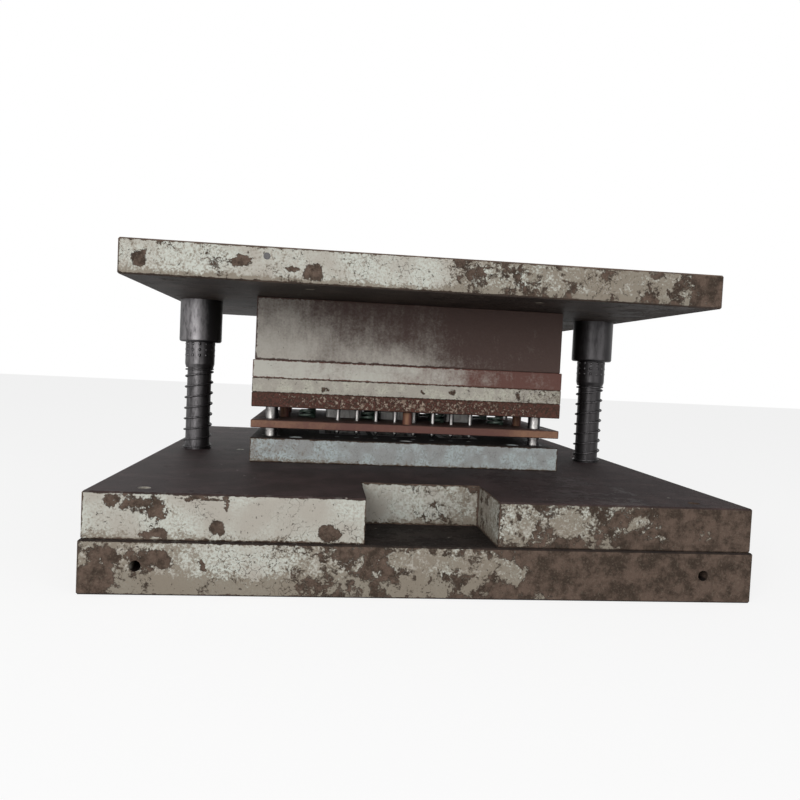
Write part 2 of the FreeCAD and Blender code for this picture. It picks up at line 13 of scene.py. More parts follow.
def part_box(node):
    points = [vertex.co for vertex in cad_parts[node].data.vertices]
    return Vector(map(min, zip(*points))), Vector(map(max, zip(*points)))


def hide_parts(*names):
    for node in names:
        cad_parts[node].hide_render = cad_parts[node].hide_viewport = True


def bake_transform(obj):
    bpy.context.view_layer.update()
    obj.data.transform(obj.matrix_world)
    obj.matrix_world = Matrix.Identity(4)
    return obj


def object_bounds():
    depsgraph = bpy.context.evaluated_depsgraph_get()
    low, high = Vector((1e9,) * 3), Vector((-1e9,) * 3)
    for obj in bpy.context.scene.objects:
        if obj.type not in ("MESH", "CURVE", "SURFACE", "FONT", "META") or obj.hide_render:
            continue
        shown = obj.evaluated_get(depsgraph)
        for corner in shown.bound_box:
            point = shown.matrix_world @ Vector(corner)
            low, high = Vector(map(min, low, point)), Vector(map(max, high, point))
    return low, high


bl_info = {
    "name": "Press Die Set Looks",
    "version": (1, 0, 0),
    "blender": (4, 5, 0),
    "location": "3D View > Sidebar > Die Set",
    "description": "Worn paint, rust, oiled steel and coil springs for a two-post press die set",
    "category": "Object",
}

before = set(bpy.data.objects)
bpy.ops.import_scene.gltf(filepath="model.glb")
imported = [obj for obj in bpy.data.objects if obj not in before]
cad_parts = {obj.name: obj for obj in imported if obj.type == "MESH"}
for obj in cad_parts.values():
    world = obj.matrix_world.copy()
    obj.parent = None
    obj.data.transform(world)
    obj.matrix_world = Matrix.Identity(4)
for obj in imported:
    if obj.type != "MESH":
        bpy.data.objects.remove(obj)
cad_low, cad_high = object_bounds()

# Scales of the noise textures, in waves per metre
FINE_GRAIN = 420.0
RAGGED_BLOTS = 85.0
FILM_CLOUDS = 22.0
FILM_SPECKS = 85.0

# How far a face has to tip up or down before a film or painted shade begins on it, and where it is whole
TIP_START, TIP_WHOLE = 0.4, 0.8
BLOT_REACH = 0.022
BLOT_DEPTH = 0.03
STEEL_RELIEF = 0.0001
PLATE_RELIEF = 0.0002

SPRING_OUTER = 0.022
WIRE_CORNER = 0.0006
STEPS_PER_TURN = 40

FLOOR_HALF = 6.0
FLOOR_DROP = 0.0002
FLOOR_GLOW = 1.07
FLOOR_GLOW_SHARE = 0.75
LIGHT_AIM = (0, 0, 0.17)
LIGHT_SIZE = 1.6
KEY_PLACE = (-1.0, -2.3, 0.75)
FILL_PLACE = (1.4, -2.0, 0.6)
CAMERA_PLACE = (-0.1092, -1.0199, 0.2162)
CAMERA_YAW, CAMERA_PITCH, CAMERA_ROLL = 0.1076, -0.0428, 0.0474
SENSOR_WIDTH = 36.0


# --- settings that a user would change --------------------------------------------------
def colour(name, description, default):
    return bpy.props.FloatVectorProperty(
        name=name, description=description, default=default, subtype="COLOR", size=3, min=0, max=1
    )


def length(name, description, default):
    return bpy.props.FloatProperty(
        name=name, description=description, default=default, subtype="DISTANCE", unit="LENGTH", min=0
    )


def share(name, description, default):
    return bpy.props.FloatProperty(
        name=name, description=description, default=default, subtype="FACTOR", min=0, max=1
    )


def number(name, description, default):
    return bpy.props.FloatProperty(name=name, description=description, default=default, min=0)


class PlateLook(bpy.types.PropertyGroup):
    """Colours and wear of the big painted plates."""

    paint: colour("Paint", "Pale grey-green machine paint", (0.385, 0.40, 0.36))
    old_paint: colour("Old Paint", "Paint where it has yellowed and thinned", (0.29, 0.27, 0.235))
    cool_paint: colour("Cool Paint", "Bluish coat of the die plate", (0.315, 0.36, 0.36))
    cool_old_paint: colour("Cool Old Paint", "The same coat where it is dirty", (0.23, 0.235, 0.23))
    cream: colour("Cream", "Pale green-cream coat of the backing plate", (0.37, 0.36, 0.30))
    old_green: colour("Old Green", "Thin pale coat of the spacer plate", (0.36, 0.35, 0.31))
    stain: colour("Stain", "Brown film that the paint has taken up", (0.150, 0.125, 0.095))
    brown: colour("Brown", "Bare steel under chipped paint", (0.085, 0.058, 0.044))
    dark_brown: colour("Dark Brown", "Oily dirt over bare steel", (0.030, 0.020, 0.014))
    bare_steel: colour("Bare Steel", "Clean mill steel of the riser", (0.31, 0.29, 0.255))
    red_brown: colour("Red Brown", "Old even rust of the riser", (0.043, 0.023, 0.018))
    rust: colour("Rust", "Fresh red rust", (0.085, 0.034, 0.026))
    orange: colour("Orange", "Light flaky rust", (0.20, 0.105, 0.060))
    tan: colour("Tan", "Pale scale on the punch plate", (0.31, 0.25, 0.20))
    tan_dark: colour("Dark Tan", "The same scale where it is thin", (0.20, 0.145, 0.11))
    # Dark top of the shoe: partly oily dirt, partly painted shade under the upper plate.
    oily_shaded_top: colour("Oiled Top", "Dark oily top of the shoe", (0.023, 0.015, 0.015))
    # Painted shade for the undersides of the upper plate and the riser.
    underside: colour("Underside", "Sooty underside of the upper plate", (0.030, 0.022, 0.018))
    # Painted shade for the narrow gaps between plates, the floor of the notch and faces hidden underneath.
    gap_shade: colour("Soot", "Black oil in the narrow gaps", (0.010, 0.007, 0.006))
    patch_size: length("Patch Size", "Usual width of a patch of bare steel", 0.028)
    edge_wear: length("Edge Wear", "How far the paint is gone from the edges", 0.0022)
    paint_thickness: length("Paint Thickness", "Step from paint to bare steel", 0.0005)


class SteelLook(bpy.types.PropertyGroup):
    """Colours of turned and ground steel."""

    dark: colour("Dark Steel", "Oiled steel in shade", (0.020, 0.018, 0.019))
    # Worn Steel, Bright Steel, Tool Steel and Worn Enamel are painted highlight colours: each goes on the
    # side of its parts that faces the clean side.
    worn: colour("Worn Steel", "Oiled steel where it is wiped clean", (0.21, 0.20, 0.205))
    bright: colour("Bright Steel", "Polished pins and balls", (0.55, 0.53, 0.51))
    tool: colour("Tool Steel", "Ground punches and inserts", (0.40, 0.39, 0.37))
    tool_dark: colour("Dirty Tool Steel", "The same steel under an oil film", (0.12, 0.11, 0.105))
    black: colour("Blackened Steel", "Socket screws and spring wire", (0.035, 0.033, 0.033))
    enamel: colour("Spring Enamel", "Green enamel of the stripper springs", (0.012, 0.028, 0.018))
    enamel_highlight: colour("Worn Enamel", "The same enamel where it is rubbed", (0.10, 0.14, 0.11))


class SpringLook(bpy.types.PropertyGroup):
    """Shapes of the coil springs."""

    cage_wire: length("Cage Spring Wire", "Wire diameter of the springs under the cages", 0.0024)
    cage_turns: number("Cage Spring Turns", "Turns of the springs under the cages", 9.1)
    die_wire: length("Stripper Spring Wire", "Height of the flat wire of the stripper springs", 0.0032)
    die_inner: length("Stripper Spring Bore", "Inner diameter of the stripper springs", 0.012)
    die_turns: number("Stripper Spring Turns", "Turns of the stripper springs", 8.5)
    closing: share("Closing", "How sharply the end turns close, as a share of a turn", 0.3)


class StageLook(bpy.types.PropertyGroup):
    """Floor, light and camera."""

    floor: share("Floor White", "How white the floor is", 0.80)
    key_power: bpy.props.FloatProperty(
        name="Key Light", description="Power of the key light", default=48, min=0,
        subtype="POWER", unit="POWER"
    )
    fill_power: bpy.props.FloatProperty(
        name="Fill Light", description="Power of the fill light", default=16, min=0,
        subtype="POWER", unit="POWER"
    )
    sky: share("Sky", "Brightness of the surrounding light", 0.36)
    lens: bpy.props.FloatProperty(
        name="Lens", description="Focal length on a 36 mm sensor, in millimetres", default=32.55, min=1
    )


# --- nodes ------------------------------------------------------------------------------
class Tree:
    """Makes and joins the nodes of one material or node group."""

    def __init__(self, tree):
        self.tree = tree

    def node(self, kind, inputs=(), **settings):
        made = self.tree.nodes.new(kind)
        for name, value in settings.items():
            setattr(made, name, value)
        for socket, value in dict(inputs).items():
            self.feed(made.inputs[socket], value)
        return made

    def feed(self, socket, value):
        if isinstance(value, bpy.types.NodeSocket):
            self.tree.links.new(value, socket)
        elif socket.type == "RGBA":
            socket.default_value = (*value[:3], 1)
        else:
            socket.default_value = value

    def math(self, operation, *values):
        made = self.node("ShaderNodeMath", dict(enumerate(values)), operation=operation)
        return made.outputs[0]

    def vector(self, operation, *values):
        inputs = dict(enumerate(values))
        if operation == "SCALE":
            inputs = {0: values[0], "Scale": values[1]}
        made = self.node("ShaderNodeVectorMath", inputs, operation=operation)
        return made.outputs["Value" if operation == "LENGTH" else "Vector"]

    def axes(self, vector):
        return self.node("ShaderNodeSeparateXYZ", {0: vector}).outputs

    def noise(self, position, scale, detail=3.0, roughness=0.5):
        return self.node("ShaderNodeTexNoise", {
            "Vector": position,
            "Scale": scale,
            "Detail": detail,
            "Roughness": roughness,
        }).outputs["Fac"]

    def between(self, value, low, high):
        """0 below low, 1 above high, and a smooth step in between."""
        made = self.node(
            "ShaderNodeMapRange",
            {"Value": value, "From Min": low, "From Max": high},
            interpolation_type="SMOOTHSTEP",
        )
        return made.outputs[0]

    def mix(self, factor, first, second):
        made = self.node(
            "ShaderNodeMix", {0: factor, 6: first, 7: second}, data_type="RGBA"
        )
        return made.outputs[2]

    def blend_values(self, factor, first, second):
        return self.node("ShaderNodeMix", {0: factor, 2: first, 3: second}).outputs[0]

    def profile(self, value, stops):
        """Value of a curve through (place, height) stops, with places in metres."""
        low, high = stops[0][0], stops[-1][0]
        place = self.node("ShaderNodeMapRange", {"Value": value, "From Min": low, "From Max": high})
        ramp = self.node("ShaderNodeValToRGB", {0: place.outputs[0]})
        ramp.color_ramp.interpolation = "EASE"
        elements = ramp.color_ramp.elements
        for index, (at, height) in enumerate(stops):
            where = (at - low) / (high - low)
            element = elements[index] if index < 2 else elements.new(where)
            element.position = where
            element.color = (height, height, height, 1)
        return ramp.outputs[0]

    def group(self, tree, **inputs):
        made = self.node("ShaderNodeGroup", node_tree=tree)
        for name, value in inputs.items():
            self.feed(made.inputs[name.replace("_", " ").title()], value)
        return made.outputs


def new_group(name, inputs, outputs):
    """Empty node group with named sockets, given as name: kind."""
    made = bpy.data.node_groups.new(name, "ShaderNodeTree")
    kinds = {"value": "NodeSocketFloat", "colour": "NodeSocketColor", "vector": "NodeSocketVector"}
    for in_out, sockets in (("INPUT", inputs), ("OUTPUT", outputs)):
        for socket, kind in sockets.items():
            made.interface.new_socket(socket, in_out=in_out, socket_type=kinds[kind])
    tree = Tree(made)
    given = tree.node("NodeGroupInput").outputs
    result = tree.node("NodeGroupOutput").inputs
    return made, tree, given, result


def block_edge_group():
    """Distance from a point on a block's surface to the block's nearest edge."""
    made, tree, given, result = new_group(
        "block_edge",
        {"Position": "vector", "Low": "vector", "High": "vector"},
        {"Distance": "value"},
    )
    from_low = tree.vector("SUBTRACT", given["Position"], given["Low"])
    from_high = tree.vector("SUBTRACT", given["High"], given["Position"])
    nearest = tree.vector("MINIMUM", tree.vector("ABSOLUTE", from_low), tree.vector("ABSOLUTE", from_high))
    x, y, z = tree.axes(nearest)
    shorter = tree.math("MINIMUM", x, y)
    longer = tree.math("MAXIMUM", x, y)
    on_edge = tree.math("MAXIMUM", shorter, tree.math("MINIMUM", longer, z))
    below = tree.vector("SCALE", from_low, -1.0)
    above = tree.vector("SCALE", from_high, -1.0)
    outside = tree.vector("MAXIMUM", tree.vector("MAXIMUM", below, above), (0, 0, 0))
    tree.feed(result["Distance"], tree.math("ADD", on_edge, tree.vector("LENGTH", outside)))
    return made


def blot_group():
    """Soft round blot: 1 in the middle and 0 outside, as wide as its size on each axis."""
    made, tree, given, result = new_group(
        "blot", {"Position": "vector", "Middle": "vector", "Size": "vector"}, {"Amount": "value"}
    )
    offset = tree.vector("SUBTRACT", given["Position"], given["Middle"])
    reach = tree.vector("LENGTH", tree.vector("DIVIDE", offset, given["Size"]))
    tree.feed(result["Amount"], tree.between(reach, 1.15, 0.25))
    return made


def warp_group():
    """Position shifted this way and that, so that shapes drawn with it have ragged outlines."""
    made, tree, given, result = new_group(
        "warp", {"Position": "vector", "Scale": "value", "Reach": "value"}, {"Position": "vector"}
    )
    wander = tree.node(
        "ShaderNodeTexNoise",
        {"Vector": given["Position"], "Scale": given["Scale"], "Detail": 4.0, "Roughness": 0.6},
    )
    shift = tree.vector("SUBTRACT", wander.outputs["Color"], (0.5, 0.5, 0.5))
    moved = tree.vector("SCALE", shift, given["Reach"])
    tree.feed(result["Position"], tree.vector("ADD", given["Position"], moved))
    return made


def worn_coat_group():
    """Paint that has flaked in patches and is stained between them, with cracks, pits and rims."""
    made, tree, given, result = new_group(
        "worn_coat",
        {
            "Position": "vector",
            "Flaked": "value",
            "Stained": "value",
            "Patch Scale": "value",
            "Cracks": "value",
            "Coat": "colour",
            "Old Coat": "colour",
            "Stain": "colour",
            "Under": "colour",
            "Dark Under": "colour",
        },
        {"Color": "colour", "Roughness": "value", "Height": "value"},
    )
    position, scale = given["Position"], given["Patch Scale"]
    warped = tree.group(
        shared_group(warp_group), position=position, scale=scale, reach=tree.math("DIVIDE", 0.8, scale)
    )[0]
    patches = tree.noise(warped, scale, 8.0, 0.66)
    fine = tree.noise(position, FINE_GRAIN, 5.0, 0.62)
    middling = tree.noise(warped, tree.math("MULTIPLY", scale, 3.3), 6.0, 0.7)
    field = tree.blend_values(0.38, patches, middling)
    field = tree.blend_values(0.10, field, fine)
    limit = tree.math("SUBTRACT", 0.665, tree.math("MULTIPLY", given["Flaked"], 0.33))
    bare = tree.between(field, limit, tree.math("ADD", limit, 0.012))
    rim = tree.between(field, tree.math("SUBTRACT", limit, 0.03), limit)

    wash_limit = tree.math("SUBTRACT", 0.70, tree.math("MULTIPLY", given["Stained"], 0.40))
    wash_field = tree.blend_values(0.45, middling, fine)
    stain_and_shade = tree.between(
        wash_field, tree.math("SUBTRACT", wash_limit, 0.07), tree.math("ADD", wash_limit, 0.07)
    )

    crack_lines = tree.node(
        "ShaderNodeTexVoronoi",
        {"Vector": warped, "Scale": tree.math("MULTIPLY", scale, 3.6)},
        feature="DISTANCE_TO_EDGE",
    ).outputs["Distance"]
    crackled = tree.between(tree.noise(position, scale, 3.0), 0.46, 0.60)
    broken = tree.between(fine, 0.40, 0.52)
    thin = tree.between(crack_lines, 0.035, 0.008)
    cracks = tree.math("MULTIPLY", tree.math("MULTIPLY", thin, crackled), given["Cracks"])
    cracks = tree.math("MULTIPLY", cracks, broken)
    pits = tree.between(tree.noise(position, tree.math("MULTIPLY", scale, 9.0), 4.0, 0.6), 0.64, 0.69)

    faded = tree.between(tree.noise(position, tree.math("MULTIPLY", scale, 0.55), 4.0), 0.38, 0.62)
    coat = tree.mix(faded, given["Coat"], given["Old Coat"])
    coat = tree.mix(tree.between(fine, 0.35, 0.70), coat, given["Old Coat"])
    coat = tree.mix(tree.math("MULTIPLY", stain_and_shade, 0.85), coat, given["Stain"])
    dirt = tree.math("MAXIMUM", tree.math("MULTIPLY", rim, 0.75), tree.math("MULTIPLY", pits, 0.8))
    coat = tree.mix(tree.math("MAXIMUM", dirt, cracks), coat, given["Dark Under"])
    stain = tree.between(tree.noise(position, tree.math("MULTIPLY", scale, 2.2), 8.0, 0.7), 0.38, 0.62)
    under = tree.mix(stain, given["Under"], given["Dark Under"])
    under = tree.mix(tree.math("MULTIPLY", tree.between(fine, 0.50, 0.72), 0.35), under, given["Stain"])
    tree.feed(result["Color"], tree.mix(bare, coat, under))
    dull = tree.math("MULTIPLY_ADD", fine, 0.3, 0.62)
    tree.feed(result["Roughness"], tree.blend_values(bare, 0.62, dull))
    dents = tree.math("MULTIPLY_ADD", cracks, 0.5, tree.math("MULTIPLY", pits, 0.5))
    surface = tree.math("SUBTRACT", tree.math("SUBTRACT", 1.0, bare), dents)
    tree.feed(result["Height"], tree.math("MULTIPLY_ADD", fine, 0.7, surface))
    return made


def stained_steel_group():
    """Bare plate steel that turns smoothly from pale to dark, with grain, runs and rust specks."""
    made, tree, given, result = new_group(
        "stained_steel",
        {
            "Position": "vector",
            "Stained": "value",
            "Mottle": "value",
            "Pale": "colour",
            "Dark": "colour",
            "Speck": "colour",
        },
        {"Color": "colour", "Roughness": "value", "Height": "value"},
    )
    position = given["Position"]
    clouds = tree.noise(position, 17.0, 6.0, 0.6)
    blotches = tree.noise(position, 75.0, 6.0, 0.65)
    fine = tree.noise(position, FINE_GRAIN, 4.0, 0.6)
    runs = tree.noise(tree.vector("MULTIPLY", position, (1, 1, 0.12)), 170.0, 4.0, 0.6)
    offset = tree.math("MULTIPLY_ADD", tree.math("SUBTRACT", clouds, 0.5), 1.1, given["Stained"])
    patchy = tree.math("MULTIPLY", tree.math("SUBTRACT", blotches, 0.5), given["Mottle"])
    offset = tree.math("MULTIPLY_ADD", patchy, 2.2, offset)
    offset = tree.math("MULTIPLY_ADD", tree.math("SUBTRACT", runs, 0.5), 0.35, offset)
    offset = tree.math("MULTIPLY_ADD", tree.math("SUBTRACT", fine, 0.5), 0.5, offset)
    stained = tree.between(offset, 0.0, 1.0)
    colour_here = tree.mix(stained, given["Pale"], given["Dark"])
    specks = tree.between(tree.noise(position, 330.0, 3.0, 0.6), 0.66, 0.71)
    some = tree.between(tree.noise(position, 26.0, 2.0), 0.42, 0.60)
    specks = tree.math("MULTIPLY", tree.math("MULTIPLY", specks, some), 0.8)
    tree.feed(result["Color"], tree.mix(specks, colour_here, given["Speck"]))
    tree.feed(result["Roughness"], tree.math("MULTIPLY_ADD", fine, 0.25, 0.45))
    rough = tree.math("MULTIPLY_ADD", specks, -0.6, fine)
    tree.feed(result["Height"], tree.math("MULTIPLY_ADD", runs, 0.3, rough))
    return made


def speckle_group():
    """Small chips and short scratches scattered over a surface."""
    made, tree, given, result = new_group(
        "speckle", {"Position": "vector", "Scale": "value"}, {"Amount": "value"}
    )
    warped = tree.group(
        shared_group(warp_group), position=given["Position"], scale=240.0, reach=0.006
    )[0]
    dots = tree.node("ShaderNodeTexVoronoi", {"Vector": warped, "Scale": given["Scale"]})
    chance = tree.axes(dots.outputs["Color"])[0]
    radius = tree.math("MULTIPLY", tree.between(chance, 0.80, 1.0), 0.17)
    spots = tree.between(dots.outputs["Distance"], radius, tree.math("MULTIPLY", radius, 0.5))
    some = tree.math("GREATER_THAN", chance, 0.82)
    tree.feed(result["Amount"], tree.math("MULTIPLY", spots, some))
    return made


def turned_steel_group():
    """Oiled steel of a round part: a painted highlight on the side that faces Clean Side, broken up by
    real streaks and stains, and dark and stained elsewhere.
    """
    made, tree, given, result = new_group(
        "turned_steel",
        {
            "Position": "vector",
            "Outward": "vector",
            "Clean Side": "vector",
            "Dark": "colour",
            "Worn": "colour",
            "Clean": "value",
        },
        {"Color": "colour", "Roughness": "value", "Height": "value"},
    )
    position = given["Position"]
    # Painted highlight: faces turned towards Clean Side take the Worn colour, as far as Clean allows, with
    # ragged edges from real streaks and stains.
    facing = tree.node(
        "ShaderNodeVectorMath", {0: given["Outward"], 1: given["Clean Side"]}, operation="DOT_PRODUCT"
    ).outputs["Value"]
    streaks = tree.noise(tree.vector("MULTIPLY", position, (1, 1, 0.25)), 260.0, 4.0, 0.6)
    stains = tree.noise(position, 55.0, 6.0, 0.65)
    ragged = tree.math("MULTIPLY_ADD", tree.math("SUBTRACT", stains, 0.5), 0.5, facing)
    highlit = tree.between(ragged, 0.62, 1.02)
    clean = tree.math("MULTIPLY", highlit, given["Clean"])
    clean = tree.math("MULTIPLY", clean, tree.between(streaks, 0.20, 0.62))
    colour_here = tree.mix(clean, given["Dark"], given["Worn"])
    shade = tree.between(stains, 0.45, 0.75)
    colour_here = tree.mix(tree.math("MULTIPLY", shade, 0.5), colour_here, given["Dark"])
    tree.feed(result["Color"], colour_here)
    tree.feed(result["Roughness"], tree.math("MULTIPLY_ADD", stains, 0.3, 0.27))
    tree.feed(result["Height"], tree.math("MULTIPLY_ADD", streaks, 0.5, stains))
    return made


made_groups = {}


def shared_group(maker):
    """The node group that a maker builds, made once."""
    if maker not in made_groups:
        made_groups[maker] = maker()
    return made_groups[maker]


def new_material(name, specular=0.5, metallic=0.0):
    """Empty material, its tree, its shader, and where the shaded point is and faces."""
    made = bpy.data.materials.new(name)
    made.use_nodes = True
    made.node_tree.nodes.clear()
    tree = Tree(made.node_tree)
    shader = tree.node("ShaderNodeBsdfPrincipled")
    shader.inputs["Specular IOR Level"].default_value = specular
    shader.inputs["Metallic"].default_value = metallic
    output = tree.node("ShaderNodeOutputMaterial")
    tree.feed(output.inputs["Surface"], shader.outputs["BSDF"])
    place = tree.node("ShaderNodeTexCoord").outputs
    return made, tree, shader, place["Object"], place["Normal"]


def finish_material(tree, shader, colour_here, roughness, height, bump):
    """Feeds a material's shader with a colour, a roughness and a relief of a given depth."""
    tree.feed(shader.inputs["Base Color"], colour_here)
    tree.feed(shader.inputs["Roughness"], roughness)
    relief = tree.node("ShaderNodeBump", {"Height": height, "Distance": bump, "Strength": 1.0})
    tree.feed(shader.inputs["Normal"], relief.outputs["Normal"])


def dress(node, material):
    """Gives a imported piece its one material."""
    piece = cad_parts[node]
    piece.data.materials.clear()
    piece.data.materials.append(material)


def blots(tree, position, spots):
    """Sum of ragged blots, each given as its middle, its size and its strength."""
    ragged = tree.group(
        shared_group(warp_group), position=position, scale=RAGGED_BLOTS, reach=BLOT_REACH
    )[0]
    total = 0.0
    for middle, size, strength in spots:
        amount = tree.group(shared_group(blot_group), position=ragged, middle=middle, size=size)[0]
        total = tree.math("MULTIPLY_ADD", amount, strength, total)
    return total


def edge_of(tree, position, low, high, width):
    """1 at a block's edges and 0 further in than about the width, with a ragged border."""
    distance = tree.group(shared_group(block_edge_group), position=position, low=low, high=high)[0]
    ragged = tree.noise(position, 0.30 / width, 5.0, 0.7)
    reach = tree.math("MULTIPLY", tree.math("SUBTRACT", ragged, 0.28), 4.5 * width)
    return tree.between(distance, reach, tree.math("MULTIPLY", reach, 0.5))


def side_masks(tree, outward):
    """How far the surface faces up and down, from 0 to 1."""
    z = tree.axes(outward)[2]
    return tree.between(z, TIP_START, TIP_WHOLE), tree.between(z, -TIP_START, -TIP_WHOLE)


def cover_flats(tree, position, outward, colour_here, look, top, bottom):
    """Films with bright specks on the faces that look up and down. Most covers given are painted shade of
    undersides, gaps and recesses; the others are dirt and rust.
    """
    specks = tree.group(shared_group(speckle_group), position=position, scale=FILM_SPECKS)["Amount"]
    cloudy = tree.noise(position, FILM_CLOUDS, 7.0, 0.65)
    for mask, cover in zip(side_masks(tree, outward), (top, bottom)):
        if cover is not None:
            light = [min(1, c * 1.9) for c in cover]
            film = tree.mix(tree.between(cloudy, 0.42, 0.68), cover, light)
            film = tree.mix(tree.math("MULTIPLY", specks, 0.6), film, look.old_paint)
            colour_here = tree.mix(mask, colour_here, film)
    return colour_here


# --- plates -----------------------------------------------------------------------------
class Coat:
    """Colours of one plate's paint, of what stains it and of the steel under it."""

    def __init__(self, coat, old_coat, stain, under, dark_under):
        self.coat, self.old_coat, self.stain = coat, old_coat, stain
        self.under, self.dark_under = under, dark_under


def painted_material(node, coat, look, flaked, stained, spots=(), **more):
    """Worn paint. Flaked and stained are (x, amount) curves along the plate."""
    made, tree, shader, position, outward = new_material(node + "_finish", specular=0.15)
    low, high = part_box(node)
    x, _, z = tree.axes(position)
    width = look.edge_wear * more.get("edge", 1.0)
    edge = edge_of(tree, position, low, high, width)
    for cut_low, cut_high in more.get("cuts", ()):
        edge = tree.math("MAXIMUM", edge, edge_of(tree, position, cut_low, cut_high, width))
    bare = tree.profile(x, flaked)
    if spots:
        bare = tree.math("ADD", bare, blots(tree, position, spots))
    near_floor = tree.between(z, low.z + more.get("dirty_height", 0.3) * (high.z - low.z), low.z)
    near_floor = tree.math("MULTIPLY", near_floor, more.get("low_dirt", 0.0))
    # Stain along the plate, more low down and at the edges; where a plate's stained curve rises towards +X
    # it is partly painted shade.
    stain_and_shade = tree.math("ADD", tree.profile(x, stained), near_floor)
    stain_and_shade = tree.math("MULTIPLY_ADD", edge, 0.6, stain_and_shade)
    bare = tree.math("MAXIMUM", bare, tree.math("MULTIPLY", edge, 0.93))
    paint = tree.group(
        shared_group(worn_coat_group),
        position=position,
        flaked=bare,
        stained=stain_and_shade,
        patch_scale=1 / (look.patch_size * more.get("patch", 1.0)),
        cracks=more.get("cracks", 0.0),
        coat=coat.coat,
        old_coat=coat.old_coat,
        stain=coat.stain,
        under=coat.under,
        dark_under=coat.dark_under,
    )
    colour_here = cover_flats(
        tree, position, outward, paint["Color"], look, more.get("top"), more.get("bottom")
    )
    finish_material(
        tree, shader, colour_here, paint["Roughness"], paint["Height"], look.paint_thickness
    )
    return made


def stained_material(node, pale, dark, speck, look, stained, spots=(), **more):
    """Bare plate steel. Stained is an (x, amount) curve along the plate."""
    made, tree, shader, position, outward = new_material(node + "_finish", specular=0.25)
    low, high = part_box(node)
    x = tree.axes(position)[0]
    amount = tree.profile(x, stained)
    if spots:
        amount = tree.math("ADD", amount, blots(tree, position, spots))
    edge = edge_of(tree, position, low, high, look.edge_wear * more.get("edge", 1.0))
    amount = tree.math("MULTIPLY_ADD", edge, more.get("edge_stain", 0.8), amount)
    steel = tree.group(
        shared_group(stained_steel_group),
        position=position,
        stained=amount,
        mottle=more.get("mottle", 0.3),
        pale=pale,
        dark=dark,
        speck=speck,
    )
    colour_here = cover_flats(
        tree, position, outward, steel["Color"], look, more.get("top"), more.get("bottom")
    )
    finish_material(tree, shader, colour_here, steel["Roughness"], steel["Height"], PLATE_RELIEF)
    return made


def front_spots(node, spots):
    """Blots on a plate's front face, given as x, z, width, height and strength."""
    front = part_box(node)[0].y
    return [
        (Vector((x, front, z)), Vector((width, BLOT_DEPTH, height)), strength)
        for x, z, width, height, strength in spots
    ]


class DressLowerPlates(bpy.types.Operator):
    """Chipped paint and oily dirt on the base plate and the shoe"""

    bl_idname = "die_set.dress_lower_plates"
    bl_label = "Base Plate and Shoe"

    def execute(self, context):
        look = context.scene.die_set_plates
        coat = Coat(look.paint, look.old_paint, look.stain, look.brown, look.dark_brown)
        notch = (Vector((-0.064, -0.350, 0.050)), Vector((0.064, -0.256, 0.094)))
        shoe_spots = front_spots("die_shoe", [
            (-0.278, 0.084, 0.024, 0.012, 0.42),
            (-0.297, 0.086, 0.012, 0.009, 0.30),
            (-0.252, 0.075, 0.009, 0.014, 0.55),
            (-0.256, 0.056, 0.020, 0.007, 0.55),
            (-0.199, 0.063, 0.011, 0.011, 0.60),
            (-0.192, 0.082, 0.005, 0.010, 0.60),
            (-0.098, 0.060, 0.017, 0.010, 0.62),
            (-0.210, 0.091, 0.045, 0.004, 0.50),
            (0.273, 0.066, 0.014, 0.008, -0.35),
            (0.095, 0.079, 0.010, 0.012, -0.30),
            (0.135, 0.074, 0.034, 0.014, -0.35),
            (0.198, 0.075, 0.016, 0.008, -0.35),
        ])
        # The flaked and stained curves darken the shoe towards +X, partly real chipping and stain and
        # partly painted shade of light falling off to the right; its top is oily dirt and painted shade
        # from the upper plate.
        dress("die_shoe", painted_material(
            "die_shoe", coat, look,
            flaked=[(-0.32, 0.22), (-0.26, 0.20), (-0.20, 0.10), (-0.075, 0.10), (0.07, 0.35),
                    (0.11, 0.48), (0.17, 0.50), (0.22, 0.66), (0.25, 0.92), (0.32, 1.0)],
            stained=[(-0.32, 0.30), (-0.24, 0.30), (-0.20, 0.15), (-0.07, 0.12), (0.07, 0.55),
                     (0.20, 0.70), (0.32, 0.8)],
            spots=shoe_spots, cuts=[notch], top=look.oily_shaded_top, cracks=0.9, low_dirt=0.35,
        ))
        base_spots = front_spots("base_plate", [
            (-0.305, 0.018, 0.020, 0.020, 0.40),
            (-0.297, 0.038, 0.020, 0.009, 0.40),
            (-0.249, 0.033, 0.014, 0.008, 0.50),
            (-0.212, 0.029, 0.004, 0.010, 0.60),
            (-0.173, 0.032, 0.040, 0.016, -0.25),
            (-0.030, 0.037, 0.022, 0.010, -0.25),
            (0.012, 0.036, 0.030, 0.010, -0.25),
            (0.081, 0.030, 0.022, 0.010, -0.20),
        ])
        # Painted shade on the base plate's top, seen in the notch and along the shoe, and on its bottom;
        # its flaked and stained curves darken it towards +X, partly real wear and partly painted shade.
        dress("base_plate", painted_material(
            "base_plate", coat, look,
            flaked=[(-0.322, 0.50), (-0.27, 0.40), (-0.23, 0.26), (-0.15, 0.22), (-0.10, 0.50),
                    (-0.03, 0.50), (0.04, 0.50), (0.09, 0.62), (0.16, 0.90), (0.322, 1.0)],
            stained=[(-0.322, 0.70), (-0.24, 0.55), (-0.17, 0.30), (-0.10, 0.60), (0.0, 0.65),
                     (0.322, 0.85)],
            spots=base_spots, top=look.gap_shade, bottom=look.gap_shade,
            cracks=0.9, low_dirt=0.75, dirty_height=0.55,
        ))
        return {"FINISHED"}


